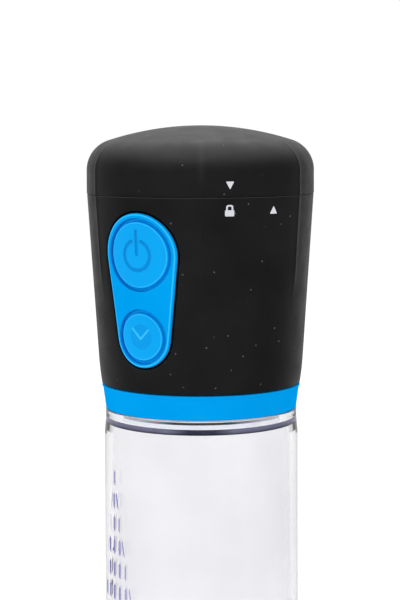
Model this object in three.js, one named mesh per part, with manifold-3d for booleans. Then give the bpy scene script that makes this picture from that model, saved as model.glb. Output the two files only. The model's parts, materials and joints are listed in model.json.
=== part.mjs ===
// A hand-held battery vacuum pump head on a clear cylinder, in millimetres.
// The origin is the middle of the base, +Z is up and the front faces -Y.
import * as THREE from "three";
import { mergeVertices } from "three/addons/utils/BufferGeometryUtils.js";
import Module from "manifold-3d";

const wasm = await Module();
wasm.setup();

// Driving dimensions
const GAP = 0.3; // between pieces that touch
const DEG = Math.PI / 180;
const FINE = 36; // sides of the large round pieces
const MID = 24; // sides of the motor and keys
const SMALL = 12; // sides of screws, pins and stems

const TUBE_R = 31; // clear cylinder, outside
const TUBE_BORE_R = 28.4;
const TUBE_TOP = 210;
const RIM_R = 30.6; // the thick mouth rim, outside
const RIM_BORE_R = 25.8;
const RIM_DEPTH = 2.8;
const SHOULDER_DEPTH = 2;
const FOOT_R = 35; // flange that the soft sleeve grips
const FOOT_LOW = 3;
const FOOT_HIGH = 9;

const SLEEVE_R = 40;
const SLEEVE_HEIGHT = 26;
const MOUTH_R = 20.5;
const LIP_HIGH = 14;

const HEAD_LOW = 218; // lower edge of the black housing
const SEAM = 278.2; // top edge of the housing, where the cap begins
const CAP_LOW = SEAM + GAP;
const HEAD_TOP = 300;
const SIDE_R = 32.13; // side wall radius at HEAD_LOW, before the edge tucks in
const SIDE_SLOPE = 0.0673;
const TUCK = 0.4;
const TUCK_HEIGHT = 8;
const CAP_R = 36.3;
const FILLET_R = 10; // between the cap's side and its crown
const CROWN_R = 95;
const WALL = 2.3;
const HEX_LOW = 245; // the section is round below this, softly hexagonal above HEX_HIGH
const HEX_HIGH = 257;
const HEX_OFFSET = 0.09; // how far each face's arc centre lies past the axis, per radius

const COLLAR_R = 32.4; // bayonet collar that stands inside the cap
const COLLAR_BORE_R = 30.4;
const COLLAR_TOP = 286;
const LUG_ANGLE = 10 * DEG;
const TURN_ANGLE = 24 * DEG; // cap turn from locked to unlocked
const LUG_SPARE = 1.2 * DEG;
const LUG_COUNT = 3;
const LUG_LOW = 280.6;
const LUG_HIGH = 283;

const KEY_TURN = -32.9 * DEG; // the keypad's direction, about +Z from the front
const PAD_PROUD = 0.5;
const POWER_Z = 260.7;
const POWER_R = 10.15;
const POWER_HOLE_R = 11.25;
const PAD_POWER_R = 12.8;
const RELEASE_Z = 235.5;
const RELEASE_R = 7.3;
const RELEASE_HOLE_R = 8.5;
const PAD_RELEASE_R = 9.6;
const PAD_CLEARANCE = 0.65; // gap between the pad and its window in the housing
const KEY_FACE = 0.35; // key face above the skin
const GROOVE_FLOOR = -0.9; // floor of the ring groove around each key
const PAD_BACK = -4.2;
const KEY_BACK = -5.9;
const FLANGE_EXTRA = 0.9; // how far a key's back flange reaches past its hole

const RING_TOP_R = 31.67; // blue coupling ring
const RING_LOW_R = 30.5;
const RING_BORE_R = 29.7;
const RING_LOW = 210.2;
const PLATE_R = 29.4; // base plate of the head
const PLATE_LOW = TUBE_TOP + GAP;
const PLATE_HIGH = 212.6;
const SPIGOT_R = 23.2;
const SPIGOT_BORE_R = 21;
const SPIGOT_LOW = 206.6;
const SEAL_R = 25.5;
const SEAL_LOW = 207.3;

const CELL_R = 5.25; // AAA cells
const CELL_LENGTH = 44.5;
const CELL_LOW = 246;
const CELL_PITCH = 16;
const NUB_R = 1.9;
const NUB_HEIGHT = 0.8;
const TRAY_LOW = 241.2;
const TRAY_HIGH = 243.2;
const TRAY_R = 30.6;
const BLOCK_HALF = 15.1;
const BLOCK_HIGH = 264;
const DISC_R = 20;
const DISC_LOW = 292;
const DISC_HIGH = 294;

const BOARD_NEAR = 20; // distances along the keypad's direction
const BOARD_FAR = 21.6;
const BOARD_HALF = 9;
const BOARD_LOW = 248;
const BOARD_HIGH = 272;
const STEM_END = 27.4;

const MOTOR_Y = 4; // motor axis, which lies along X of the inner group
const MOTOR_Z = 226.5;
const MOTOR_R = 12;
const MOTOR_NEAR = -2.6;
const MOTOR_END = -22;
const CRANK = 1; // eccentric throw
const ROD_NEAR = 3;
const ROD_FAR = 8;
const CASE_HIGH = 233.6;
const PORT = { x: 17.6, y: 9 }; // suction port in the base plate
const NIPPLE_R = 1.2;
const NIPPLE_Z = 238.5;
const HOSE_R = 2.2;
const HOSE_BORE_R = 1.65;
const VALVE_NEAR = 11;
const VALVE_FAR = 20.5;

// Materials
const plastic = (color, roughness) => new THREE.MeshStandardMaterial({ color, roughness, metalness: 0 });
const metal = (color, roughness) => new THREE.MeshStandardMaterial({ color, roughness, metalness: 1 });
const BLACK = plastic(0x1c1c1e, 0.45);
const DARK_RUBBER = plastic(0x141414, 0.7);
const BLUE = plastic(0x0a9bec, 0.4);
const BLUE_RUBBER = plastic(0x0a93e2, 0.55);
const CLEAR = new THREE.MeshStandardMaterial({ color: 0xeef0f6, roughness: 0.05, transparent: true, opacity: 0.35 });
const SILICONE = plastic(0xe8e8e6, 0.5);
const GREY = plastic(0x55585c, 0.6);
const IVORY = plastic(0xd9d5c8, 0.5);
const STEEL = metal(0xb8bcc0, 0.35);
const SPRING = metal(0xcfd2d6, 0.25);
const BRASS = metal(0xc9a24a, 0.35);
const COPPER = metal(0xb5683a, 0.4);
const FERRITE = plastic(0x2b2a2c, 0.8);
const CELL_WRAP = plastic(0x2f7d46, 0.35);
const BOARD_GREEN = plastic(0x1c5a36, 0.5);
const RED = plastic(0xb5201c, 0.5);

const assembly = new THREE.Group();
const core = new THREE.Group(); // pieces lined up with the keypad, which faces -Y here
core.rotation.z = KEY_TURN;
assembly.add(core);

// Closed surfaces and solids

// Merged vertices, no collapsed triangles, and faces that point out.
function closedSurface(geometry) {
  const bare = geometry.clone();
  bare.deleteAttribute("normal");
  bare.deleteAttribute("uv");
  const merged = mergeVertices(bare, 1e-4);
  const places = merged.attributes.position;
  const kept = [];
  let volume = 0;
  for (let i = 0; i < merged.index.count; i += 3) {
    const corners = [0, 1, 2].map((j) => merged.index.getX(i + j));
    if (new Set(corners).size < 3) continue;
    kept.push(...corners);
    const [a, b, c] = corners.map((v) => new THREE.Vector3().fromBufferAttribute(places, v));
    volume += a.dot(b.cross(c));
  }
  if (volume < 0) kept.reverse();
  merged.setIndex(kept);
  return merged;
}

function solid(geometry) {
  const surface = closedSurface(geometry);
  const vertProperties = new Float32Array(surface.attributes.position.array);
  const triVerts = new Uint32Array(surface.index.array);
  return new wasm.Manifold(new wasm.Mesh({ numProp: 3, vertProperties, triVerts }));
}

function surfaceOf(manifold) {
  const mesh = manifold.getMesh();
  const geometry = new THREE.BufferGeometry();
  geometry.setAttribute("position", new THREE.BufferAttribute(new Float32Array(mesh.vertProperties), 3));
  geometry.setIndex(Array.from(mesh.triVerts));
  return geometry;
}

function join(...geometries) {
  return surfaceOf(geometries.map(solid).reduce((sum, next) => sum.add(next)));
}

function cut(geometry, ...tools) {
  return surfaceOf(tools.map(solid).reduce((left, tool) => left.subtract(tool), solid(geometry)));
}

function common(geometry, other) {
  return surfaceOf(solid(geometry).intersect(solid(other)));
}

function add(name, geometry, material, group = assembly) {
  const mesh = new THREE.Mesh(closedSurface(geometry), material);
  mesh.name = name;
  group.add(mesh);
}

// Basic shapes

function box(x0, x1, y0, y1, z0, z1) {
  const shape = new THREE.BoxGeometry(x1 - x0, y1 - y0, z1 - z0);
  return shape.translate((x0 + x1) / 2, (y0 + y1) / 2, (z0 + z1) / 2);
}

// A solid of revolution about Z from [radius, z] points.
function turned(points, sides = FINE) {
  const outline = points.map(([r, z]) => new THREE.Vector2(r, z));
  return new THREE.LatheGeometry(outline, sides).rotateX(Math.PI / 2);
}

// A ring closes its outline on itself.
const turnedRing = (points, sides) => turned([...points, points[0]], sides);

function pin(x, y, radius, low, high, sides = SMALL) {
  const shape = turned([[0, low], [radius, low], [radius, high], [0, high]], sides);
  return shape.translate(x, y, 0);
}

// A pin that points out of the keypad, between two distances from the axis.
function keyPin(z, radius, near, far, sides = SMALL) {
  const shape = new THREE.CylinderGeometry(radius, radius, far - near, sides);
  return shape.translate(0, -(near + far) / 2, z);
}

// Stands a shape made about Z on the motor's axis, with z becoming x.
const onMotorAxis = (geometry) => geometry.rotateY(90 * DEG).translate(0, MOTOR_Y, MOTOR_Z);

function sector(inner, outer, from, to, low, high, steps = 6) {
  const shape = new THREE.Shape();
  shape.absarc(0, 0, outer, from, to, false);
  shape.absarc(0, 0, inner, to, from, true);
  const options = { depth: high - low, bevelEnabled: false, curveSegments: steps };
  return new THREE.ExtrudeGeometry(shape, options).translate(0, 0, low);
}

function alongPath(points, radius, sides, steps, boreRadius = 0) {
  const section = new THREE.Shape();
  section.absarc(0, 0, radius, 0, 2 * Math.PI, false);
  if (boreRadius > 0) {
    const hole = new THREE.Path();
    hole.absarc(0, 0, boreRadius, 0, 2 * Math.PI, true);
    section.holes.push(hole);
  }
  const path = new THREE.CatmullRomCurve3(points.map((p) => new THREE.Vector3(...p)));
  const options = { steps, bevelEnabled: false, extrudePath: path, curveSegments: sides / 2 };
  return new THREE.ExtrudeGeometry(section, options);
}

class Helix extends THREE.Curve {
  constructor(lowRadius, highRadius, height, turns) {
    super();
    Object.assign(this, { lowRadius, highRadius, height, turns });
  }
  getPoint(u, target = new THREE.Vector3()) {
    const radius = this.lowRadius + (this.highRadius - this.lowRadius) * u;
    const angle = 2 * Math.PI * this.turns * u;
    return target.set(radius * Math.cos(angle), radius * Math.sin(angle), this.height * u);
  }
}

function coil(lowRadius, highRadius, height, turns, wireRadius) {
  const section = new THREE.Shape();
  section.absarc(0, 0, wireRadius, 0, 2 * Math.PI, false);
  const path = new Helix(lowRadius, highRadius, height, turns);
  const options = { steps: Math.round(turns * 10), bevelEnabled: false, extrudePath: path, curveSegments: 2 };
  return new THREE.ExtrudeGeometry(section, options);
}

// The head's outer skin

function sideRadius(z) {
  const tuck = Math.max(0, 1 - (z - HEAD_LOW) / TUCK_HEIGHT);
  return Math.min(CAP_R, SIDE_R + SIDE_SLOPE * (z - HEAD_LOW) - TUCK * tuck * tuck);
}

// How far the soft hexagon stands out from the round section at an angle from the front.
function hexFactor(angle, z) {
  const side = 60 * DEG;
  const fromFace = ((((angle % side) + side) % side) - side / 2);
  const across = HEX_OFFSET * Math.sin(fromFace);
  const reach = Math.sqrt((1 + HEX_OFFSET) ** 2 - across ** 2) - HEX_OFFSET * Math.cos(fromFace);
  return 1 + (reach - 1) * THREE.MathUtils.smoothstep(z, HEX_LOW, HEX_HIGH);
}

function hexagonal(geometry) {
  const places = geometry.attributes.position;
  for (let i = 0; i < places.count; i += 1) {
    const [x, y, z] = [places.getX(i), places.getY(i), places.getZ(i)];
    const factor = hexFactor(Math.atan2(x, -y), z);
    places.setXY(i, x * factor, y * factor);
  }
  return geometry;
}

// The side wall as a full solid, grown by offset.
function sideSkin(offset, low, high) {
  const levels = [low, HEAD_LOW + 3, HEAD_LOW + TUCK_HEIGHT, HEX_LOW, (HEX_LOW + HEX_HIGH) / 2, HEX_HIGH, high];
  const wall = levels.filter((z) => z >= low && z <= high).map((z) => [sideRadius(z) + offset, z]);
  return hexagonal(turned([[0, low], ...wall, [0, high]]));
}

const filletPlace = () => {
  const r = CAP_R - FILLET_R;
  const reach = CROWN_R - FILLET_R;
  return { r, z: HEAD_TOP - CROWN_R + Math.sqrt(reach * reach - r * r) };
};

// The cap's outline inset by an amount: its side, fillet and crown up to the axis.
function capOutline(inset, low) {
  const fillet = filletPlace();
  const crownLow = HEAD_TOP - CROWN_R;
  const meet = Math.atan2(fillet.z - crownLow, fillet.r);
  const points = [[CAP_R - inset, low]];
  for (let i = 0; i <= 4; i += 1) {
    const angle = (meet * i) / 4;
    const radius = FILLET_R - inset;
    points.push([fillet.r + radius * Math.cos(angle), fillet.z + radius * Math.sin(angle)]);
  }
  for (let i = 1; i <= 3; i += 1) {
    const angle = meet + ((90 * DEG - meet) * i) / 3;
    const radius = CROWN_R - inset;
    points.push([i < 3 ? radius * Math.cos(angle) : 0, crownLow + radius * Math.sin(angle)]);
  }
  return points;
}

// The keypad's outline grown by a margin: two circles and their tangents, drawn on the XZ plane.
function padPrism(margin, near, far) {
  const big = PAD_POWER_R + margin;
  const small = PAD_RELEASE_R + margin;
  const lean = Math.asin((big - small) / (POWER_Z - RELEASE_Z));
  const shape = new THREE.Shape();
  shape.absarc(0, POWER_Z, big, -lean, Math.PI + lean, false);
  shape.absarc(0, RELEASE_Z, small, Math.PI + lean, 2 * Math.PI - lean, false);
  const options = { depth: far - near, bevelEnabled: false, curveSegments: 7 };
  return new THREE.ExtrudeGeometry(shape, options).rotateX(90 * DEG).translate(0, -near, 0);
}

// The skin as the inner group sees it.
const skinForKeys = (offset) => sideSkin(offset, HEAD_LOW, SEAM).rotateZ(-KEY_TURN);

// Cylinder and base

function addCylinder() {
  const shoulder = TUBE_TOP - RIM_DEPTH - SHOULDER_DEPTH;
  const wall = [
    [TUBE_BORE_R, FOOT_LOW], [FOOT_R, FOOT_LOW], [FOOT_R, FOOT_HIGH], [TUBE_R, FOOT_HIGH],
    [TUBE_R, shoulder - 1], [RIM_R, shoulder - 0.4], [RIM_R, TUBE_TOP],
    [RIM_BORE_R, TUBE_TOP], [RIM_BORE_R, TUBE_TOP - RIM_DEPTH], [TUBE_BORE_R, shoulder],
  ];
  add("cylinder", turnedRing(wall), CLEAR);
}

function addBaseSleeve() {
  const groove = FOOT_R + GAP;
  const wall = [
    [24, 0], [SLEEVE_R - 2, 0], [SLEEVE_R, 2], [SLEEVE_R - 1, 14], [SLEEVE_R - 4, SLEEVE_HEIGHT - 2],
    [SLEEVE_R - 6, SLEEVE_HEIGHT], [TUBE_R + GAP, SLEEVE_HEIGHT], [TUBE_R + GAP, FOOT_HIGH + GAP],
    [groove, FOOT_HIGH + GAP], [groove, FOOT_LOW - GAP], [26.8, FOOT_LOW - GAP],
    [MOUTH_R + 2, LIP_HIGH], [MOUTH_R, LIP_HIGH - 1],
  ];
  add("base_sleeve", turnedRing(wall), DARK_RUBBER);
}

// Head shell

const SCREW_ANGLES = [50, 190, 310];
const SCREW_RING_R = 26.4;

function screwPlaces() {
  return SCREW_ANGLES.map((a) => [SCREW_RING_R * Math.cos(a * DEG), SCREW_RING_R * Math.sin(a * DEG)]);
}

function housingInside() {
  return turned([
    [0, HEAD_LOW - 1], [SIDE_R - TUCK - WALL, HEAD_LOW - 1], [30.8, 238.6], [28.6, 238.6],
    [28.6, TRAY_LOW - GAP], [31, TRAY_LOW - GAP], [33, 268], [COLLAR_BORE_R, 272],
    [COLLAR_BORE_R, COLLAR_TOP + 1], [0, COLLAR_TOP + 1],
  ]);
}

function lugSlots() {
  return lugAngles().map((angle) => {
    const from = angle - LUG_ANGLE / 2 - LUG_SPARE;
    const to = angle + LUG_ANGLE / 2 + TURN_ANGLE + LUG_SPARE;
    return sector(COLLAR_BORE_R - 1, COLLAR_R + 1, from, to, LUG_LOW - GAP, COLLAR_TOP + 1);
  });
}

function lugAngles() {
  return Array.from({ length: LUG_COUNT }, (_, i) => 90 * DEG + (360 * DEG * i) / LUG_COUNT);
}

function addHousing() {
  const collar = turned([[0, SEAM - 1], [COLLAR_R, SEAM - 1], [COLLAR_R, COLLAR_TOP], [0, COLLAR_TOP]]);
  const shell = cut(join(sideSkin(0, HEAD_LOW, SEAM), collar), housingInside());
  const bosses = screwPlaces().map(([x, y]) => pin(x, y, 2.8, PLATE_HIGH + GAP, 228).rotateZ(KEY_TURN));
  const webs = SCREW_ANGLES.map((a) => box(27, 31, -1.2, 1.2, HEAD_LOW, 228).rotateZ(a * DEG + KEY_TURN));
  const bores = screwPlaces().map(([x, y]) => pin(x, y, 1.5, PLATE_HIGH, 225).rotateZ(KEY_TURN));
  const keyRoom = common(box(-15.6, 15.6, -40, -24, 223, 276), skinForKeys(-WALL)).rotateZ(KEY_TURN);
  const window = padPrism(PAD_CLEARANCE, 20, 45).rotateZ(KEY_TURN);
  const body = cut(join(shell, ...bosses, ...webs), ...bores, keyRoom, window, ...lugSlots());
  add("housing", body, BLACK);
}

function addBatteryCap() {
  const fillet = filletPlace();
  const outside = hexagonal(turned([[0, CAP_LOW], ...capOutline(0, CAP_LOW)]));
  const inside = turned([[0, CAP_LOW - 1], ...capOutline(WALL, CAP_LOW - 1)]);
  const boss = pin(0, 0, 4.2, DISC_HIGH + GAP, HEAD_TOP - WALL + 0.5);
  const bore = pin(0, 0, 1.5, DISC_HIGH, HEAD_TOP - WALL - 0.5);
  const lugs = lugAngles().map((angle) => sector(
    COLLAR_BORE_R + 0.5, CAP_R - WALL + 0.5, angle - LUG_ANGLE / 2, angle + LUG_ANGLE / 2, LUG_LOW, LUG_HIGH,
  ));
  add("battery_cap", cut(join(cut(outside, inside), boss, ...lugs), bore), BLACK);
  const seal = [
    [COLLAR_R + GAP, CAP_LOW], [COLLAR_R + 1.2, CAP_LOW], [COLLAR_R + 1.2, CAP_LOW + 1], [COLLAR_R + GAP, CAP_LOW + 1],
  ];
  add("cap_seal", turnedRing(seal), DARK_RUBBER);
}

function addCouplingRing() {
  const wall = [
    [RING_BORE_R, RING_LOW], [RING_LOW_R, RING_LOW], [RING_TOP_R, HEAD_LOW - GAP - 0.6],
    [RING_TOP_R - 0.4, HEAD_LOW - GAP], [RING_BORE_R, HEAD_LOW - GAP],
  ];
  add("coupling_ring", turnedRing(wall), BLUE);
}

function addBasePlate() {
  const plate = turned([
    [0, PLATE_LOW], [SPIGOT_BORE_R, PLATE_LOW], [SPIGOT_BORE_R, SPIGOT_LOW], [SPIGOT_R + 1, SPIGOT_LOW],
    [SPIGOT_R + 1, SEAL_LOW - GAP], [SPIGOT_R, SEAL_LOW - GAP], [SPIGOT_R, PLATE_LOW],
    [PLATE_R, PLATE_LOW], [PLATE_R, PLATE_HIGH], [0, PLATE_HIGH],
  ]);
  const nipple = pin(PORT.x, PORT.y, NIPPLE_R, PLATE_HIGH - 0.5, 217);
  const port = pin(PORT.x, PORT.y, 0.8, PLATE_LOW - 1, 218);
  const valvePort = pin(0, -16, 1, PLATE_LOW - 1, PLATE_HIGH + 1);
  const holes = screwPlaces().flatMap(([x, y]) => [
    pin(x, y, 2.5, PLATE_LOW - 1, PLATE_LOW + 1.4),
    pin(x, y, 1.5, PLATE_LOW, PLATE_HIGH + 1),
  ]);
  const clampHoles = clampScrewPlaces().map(([x, y]) => pin(x, y, 1.5, PLATE_LOW + 0.7, PLATE_HIGH + 1));
  add("base_plate", cut(join(plate, nipple), port, valvePort, ...holes, ...clampHoles), BLACK, core);
  screwPlaces().forEach(([x, y], i) => {
    const screw = turned([
      [0, PLATE_LOW + 0.1], [2.2, PLATE_LOW + 0.1], [2.2, PLATE_LOW + 1.1], [1.2, PLATE_LOW + 1.1], [1.2, 224], [0, 224],
    ], SMALL);
    add(`plate_screw_${i + 1}`, screw.translate(x, y, 0), STEEL, core);
  });
  const seal = [
    [SPIGOT_R + GAP, SEAL_LOW], [SEAL_R - 0.7, SEAL_LOW], [SEAL_R, SEAL_LOW + 1],
    [SEAL_R, TUBE_TOP - 0.3], [SPIGOT_R + GAP, TUBE_TOP - 0.3],
  ];
  add("spigot_seal", turnedRing(seal), SILICONE);
}

// Keypad

function addKeypadFrame() {
  const face = common(padPrism(0, 20, 45), skinForKeys(PAD_PROUD));
  const front = cut(face, skinForKeys(-WALL - GAP - 0.1));
  const wide = common(padPrism(1.5, 20, 45), skinForKeys(-WALL - GAP));
  const back = cut(wide, skinForKeys(PAD_BACK));
  const holes = [keyPin(POWER_Z, POWER_HOLE_R, 20, 45, MID), keyPin(RELEASE_Z, RELEASE_HOLE_R, 20, 45, MID)];
  add("keypad_frame", cut(join(front, back), ...holes), BLUE, core);
}

// A round key: its face, the step that floors the groove, the back flange and the stem.
function key(z, radius, holeRadius, stemRadius) {
  const face = common(keyPin(z, radius, 20, 45, MID), skinForKeys(KEY_FACE));
  const step = common(keyPin(z, holeRadius - GAP, 20, 44, MID), skinForKeys(GROOVE_FLOOR));
  const flange = common(keyPin(z, holeRadius + FLANGE_EXTRA, 20, 43, MID), skinForKeys(PAD_BACK - GAP));
  const stem = keyPin(z, stemRadius, STEM_END, 31);
  const whole = cut(join(face, step, flange), skinForKeys(KEY_BACK));
  return join(whole, stem);
}

function addKeys() {
  add("power_key", key(POWER_Z, POWER_R, POWER_HOLE_R, 2.5), BLUE_RUBBER, core);
  add("release_key", key(RELEASE_Z, RELEASE_R, RELEASE_HOLE_R, 3), BLUE_RUBBER, core);
}

// Electronics

function addControlBoard() {
  const board = box(-BOARD_HALF, BOARD_HALF, -BOARD_FAR, -BOARD_NEAR, BOARD_LOW, BOARD_HIGH);
  add("control_board", board, BOARD_GREEN, core);
  const front = BOARD_FAR + GAP;
  const body = box(-3, 3, -front - 3.2, -front, POWER_Z - 3, POWER_Z + 3);
  add("power_switch", join(body, keyPin(POWER_Z, 1.7, front + 3, front + 4.3)), STEEL, core);
  add("driver_chip", box(2.5, 7.5, -front - 1.5, -front, 249.5, 254.5), DARK_RUBBER, core);
  add("board_capacitor", keyPin(252.5, 2.5, front, front + 4.5).translate(-5, 0, 0), GREY, core);
}

// Battery bay

function cellPlaces() {
  const half = CELL_PITCH / 2;
  return [[-half, -half], [half, -half], [half, half], [-half, half]];
}

function addBatteryTray() {
  const corner = 4;
  const side = BLOCK_HALF - corner;
  const shape = new THREE.Shape();
  shape.absarc(side, side, corner, 0, 90 * DEG, false);
  shape.absarc(-side, side, corner, 90 * DEG, 180 * DEG, false);
  shape.absarc(-side, -side, corner, 180 * DEG, 270 * DEG, false);
  shape.absarc(side, -side, corner, 270 * DEG, 360 * DEG, false);
  const options = { depth: BLOCK_HIGH - TRAY_LOW, bevelEnabled: false, curveSegments: 4 };
  const block = new THREE.ExtrudeGeometry(shape, options).translate(0, 0, TRAY_LOW);
  const flange = common(pin(0, 0, TRAY_R, TRAY_LOW, TRAY_HIGH, FINE), box(-40, 40, -18, 40, 230, 250));
  const arms = [-1, 1].map((way) => {
    const [near, far] = [way * (BOARD_HALF + GAP), way * (BOARD_HALF + 2)];
    return box(Math.min(near, far), Math.max(near, far), -22.3, -14, TRAY_LOW, 270);
  });
  const bores = cellPlaces().map(([x, y]) => pin(x, y, CELL_R + 0.35, 242.6, BLOCK_HIGH + 1, 24));
  add("battery_tray", cut(join(flange, block, ...arms), ...bores), GREY, core);
}

function addCells() {
  cellPlaces().forEach(([x, y], i) => {
    const nubUp = i % 2 === 0;
    const low = nubUp ? CELL_LOW : CELL_LOW + NUB_HEIGHT;
    const high = low + CELL_LENGTH - NUB_HEIGHT;
    const outline = nubUp
      ? [[0, low], [CELL_R, low], [CELL_R, high], [NUB_R, high], [NUB_R, high + NUB_HEIGHT], [0, high + NUB_HEIGHT]]
      : [[0, CELL_LOW], [NUB_R, CELL_LOW], [NUB_R, low], [CELL_R, low], [CELL_R, high], [0, high]];
    add(`cell_${i + 1}`, turned(outline, 20).translate(x, y, 0), CELL_WRAP, core);
    const contact = nubUp
      ? coil(4, 2.6, 2.1, 2.5, 0.3).translate(x, y, 243.3)
      : pin(x, y, 3.5, 242.9, CELL_LOW - GAP);
    add(nubUp ? `contact_spring_${i + 1}` : `contact_pad_${i + 1}`, contact, SPRING, core);
  });
}

function addContactCarrier() {
  const disc = [[1.5, DISC_LOW], [DISC_R, DISC_LOW], [DISC_R, DISC_HIGH], [1.5, DISC_HIGH]];
  add("contact_disc", turnedRing(disc, 24), IVORY, core);
  [-1, 1].forEach((way, i) => {
    const y = (way * CELL_PITCH) / 2;
    add(`contact_link_${i + 1}`, box(-12, 12, y - 3.4, y + 3.4, DISC_LOW - 1.1, DISC_LOW - GAP), BRASS, core);
  });
  const screw = turned([
    [0, 290.2], [3, 290.2], [3, DISC_LOW - GAP], [1.2, DISC_LOW - GAP], [1.2, 296.8], [0, 296.8],
  ], SMALL);
  add("carrier_screw", screw, STEEL);
}

// Motor and diaphragm pump

function addMotor() {
  const can = [
    [10.8, MOTOR_END], [MOTOR_R, MOTOR_END], [MOTOR_R, MOTOR_NEAR], [3.2, MOTOR_NEAR],
    [3.2, MOTOR_NEAR - 1.4], [10.8, MOTOR_NEAR - 1.4],
  ];
  add("motor_can", onMotorAxis(turnedRing(can, MID)), STEEL, core);
  const bell = [
    [1.3, MOTOR_END - 1], [3.5, MOTOR_END - 1], [3.5, MOTOR_END + 0.3], [10.4, MOTOR_END + 0.3],
    [10.4, MOTOR_END + 2.5], [1.3, MOTOR_END + 2.5],
  ];
  add("motor_end_bell", onMotorAxis(turnedRing(bell, MID)), IVORY, core);
  const bearing = [[1.3, -4.6], [2.9, -4.6], [2.9, -2.2], [1.3, -2.2]];
  add("motor_bearing", onMotorAxis(turnedRing(bearing, SMALL)), BRASS, core);
  [0, 1].forEach((i) => {
    const middle = i * 180 * DEG;
    const magnet = sector(8.6, 10.4, middle - 55 * DEG, middle + 55 * DEG, -18, -6, 10);
    add(`motor_magnet_${i + 1}`, onMotorAxis(magnet), FERRITE, core);
  });
  const armature = turned([
    [0, -24], [1, -24], [1, -18.8], [3, -18.8], [3, -17], [7.9, -17], [7.9, -7], [1, -7], [1, 9.5], [0, 9.5],
  ], 20);
  add("motor_armature", onMotorAxis(armature), COPPER, core);
}

function addCrank() {
  const caseBox = box(-1.9, 14, MOTOR_Y - 9, MOTOR_Y + 9, 215, CASE_HIGH);
  const room = box(0, 12, MOTOR_Y - 7, MOTOR_Y + 7, 217, CASE_HIGH + 1);
  const shaftHole = onMotorAxis(pin(0, 0, 4, -3, 1));
  add("crankcase", cut(caseBox, room, shaftHole), GREY, core);
  // the crank is at its top, so the disc's middle lies CRANK above the shaft
  const disc = onMotorAxis(pin(0, 0, 3.2, ROD_NEAR, ROD_FAR)).translate(0, 0, CRANK);
  const shaftBore = onMotorAxis(pin(0, 0, 1.3, ROD_NEAR - 1, ROD_FAR + 1));
  add("eccentric", cut(disc, shaftBore), BRASS, core);
  const rodEnd = onMotorAxis(pin(0, 0, 4.6, ROD_NEAR, ROD_FAR, 20)).translate(0, 0, CRANK);
  const rodBore = onMotorAxis(pin(0, 0, 3.5, ROD_NEAR - 1, ROD_FAR + 1, 20)).translate(0, 0, CRANK);
  const stem = box(4, 7, MOTOR_Y - 1.4, MOTOR_Y + 1.4, 231.4, CASE_HIGH - 0.2);
  add("connecting_rod", join(cut(rodEnd, rodBore), stem), IVORY, core);
}

function addPumpHead() {
  const middle = (ROD_NEAR + ROD_FAR) / 2 + 0.5;
  const diaphragm = turned([
    [0, 234.2], [4, 234.2], [5.2, CASE_HIGH + GAP], [8, CASE_HIGH + GAP], [8, 235.1], [0, 235.1],
  ], 20);
  add("diaphragm", diaphragm.translate(middle, MOTOR_Y, 0), DARK_RUBBER, core);
  const plate = box(-1.9, 14, MOTOR_Y - 9, MOTOR_Y + 9, 235.4, 236.8);
  const ports = [MOTOR_Y - 4, MOTOR_Y + 4].map((y) => pin(middle, y, 1, 235, 237));
  add("valve_plate", cut(plate, ...ports), SILICONE, core);
  const block = box(-1.9, 14, MOTOR_Y - 9, MOTOR_Y + 9, 237.1, 240.6);
  const nipple = (y, length, radius) => pin(0, 0, radius, 13.5, length).rotateY(90 * DEG).translate(0, y, NIPPLE_Z);
  const bore = (y, length) => nipple(y, length + 1, 0.7);
  const head = join(block, nipple(MOTOR_Y + 4, 18.5, NIPPLE_R), nipple(MOTOR_Y - 4, 16.5, NIPPLE_R));
  add("pump_head", cut(head, bore(MOTOR_Y + 4, 18.5), bore(MOTOR_Y - 4, 16.5)), GREY, core);
  const route = [
    [15.2, 8, NIPPLE_Z], [18.8, 8, NIPPLE_Z - 0.2], [22.2, 8.2, 235.4], [22.8, 8.6, 230],
    [20.5, 9, 224], [PORT.x + 0.4, PORT.y, 219], [PORT.x, PORT.y, 213.6],
  ];
  add("suction_hose", alongPath(route, HOSE_R, 8, 13, HOSE_BORE_R), SILICONE, core);
}

function clampScrewPlaces() {
  return [[-12.5, MOTOR_Y - 16.2], [-12.5, MOTOR_Y + 16.2]];
}

function addMotorClamp() {
  const inner = MOTOR_R + GAP;
  const outer = inner + 1.2;
  const [from, to] = [-16, -9];
  const low = PLATE_HIGH + GAP;
  const ring = onMotorAxis(turnedRing([[inner, from], [outer, from], [outer, to], [inner, to]], 32));
  const arch = common(ring, box(from, to, -30, 40, MOTOR_Z, 250));
  const legs = [-1, 1].map((way) => {
    const [a, b] = [MOTOR_Y + way * inner, MOTOR_Y + way * outer];
    const foot = MOTOR_Y + way * 19;
    const leg = box(from, to, Math.min(a, b), Math.max(a, b), low, MOTOR_Z + 0.5);
    return join(leg, box(from, to, Math.min(a, foot), Math.max(a, foot), low, low + 1.4));
  });
  const holes = clampScrewPlaces().map(([x, y]) => pin(x, y, 1.5, low - 1, low + 3));
  add("motor_clamp", cut(join(arch, ...legs), ...holes), STEEL, core);
  clampScrewPlaces().forEach(([x, y], i) => {
    const head = low + 1.4 + GAP;
    const screw = turned([
      [0, PLATE_LOW + 1], [1.2, PLATE_LOW + 1], [1.2, head], [2.2, head], [2.2, head + 1.4], [0, head + 1.4],
    ], SMALL);
    add(`clamp_screw_${i + 1}`, screw.translate(x, y, 0), STEEL, core);
  });
}

// Release valve

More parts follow.
